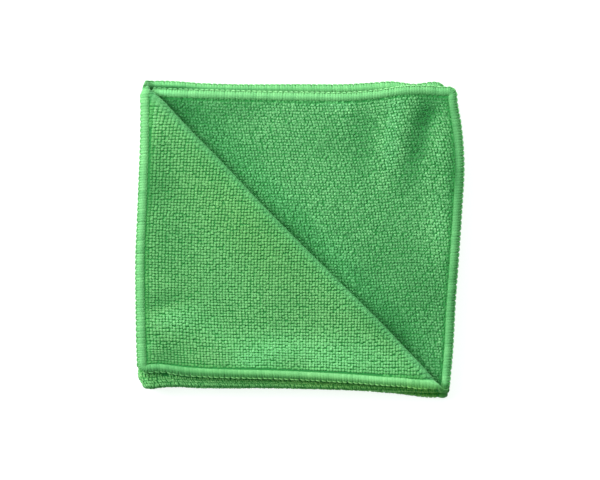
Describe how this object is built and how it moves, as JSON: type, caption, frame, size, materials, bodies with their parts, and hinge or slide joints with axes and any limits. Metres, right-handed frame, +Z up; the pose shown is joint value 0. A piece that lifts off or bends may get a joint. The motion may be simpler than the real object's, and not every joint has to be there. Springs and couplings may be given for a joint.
{
  "type": "folded microfibre cloth",
  "caption": "Square terry microfibre cloth with an overlocked edge, folded in quarters, its top corner turned back over the diagonal.",
  "frame": {"origin": "on the surface that the cloth lies on, under the middle of the folded cloth's box", "axes": "+Z up; -X and -Y sides are the folded ones, +X and +Y sides are the cloth's own edges; the turned back corner lies on the -X, -Y half"},
  "size_m": [0.159, 0.1548, 0.0127],
  "materials": {
    "terry": "matte looped microfibre, with a lighter overlocked edge"
  },
  "bodies": {
    "root": {"cloth": "terry"}
  },
  "joints": []
}
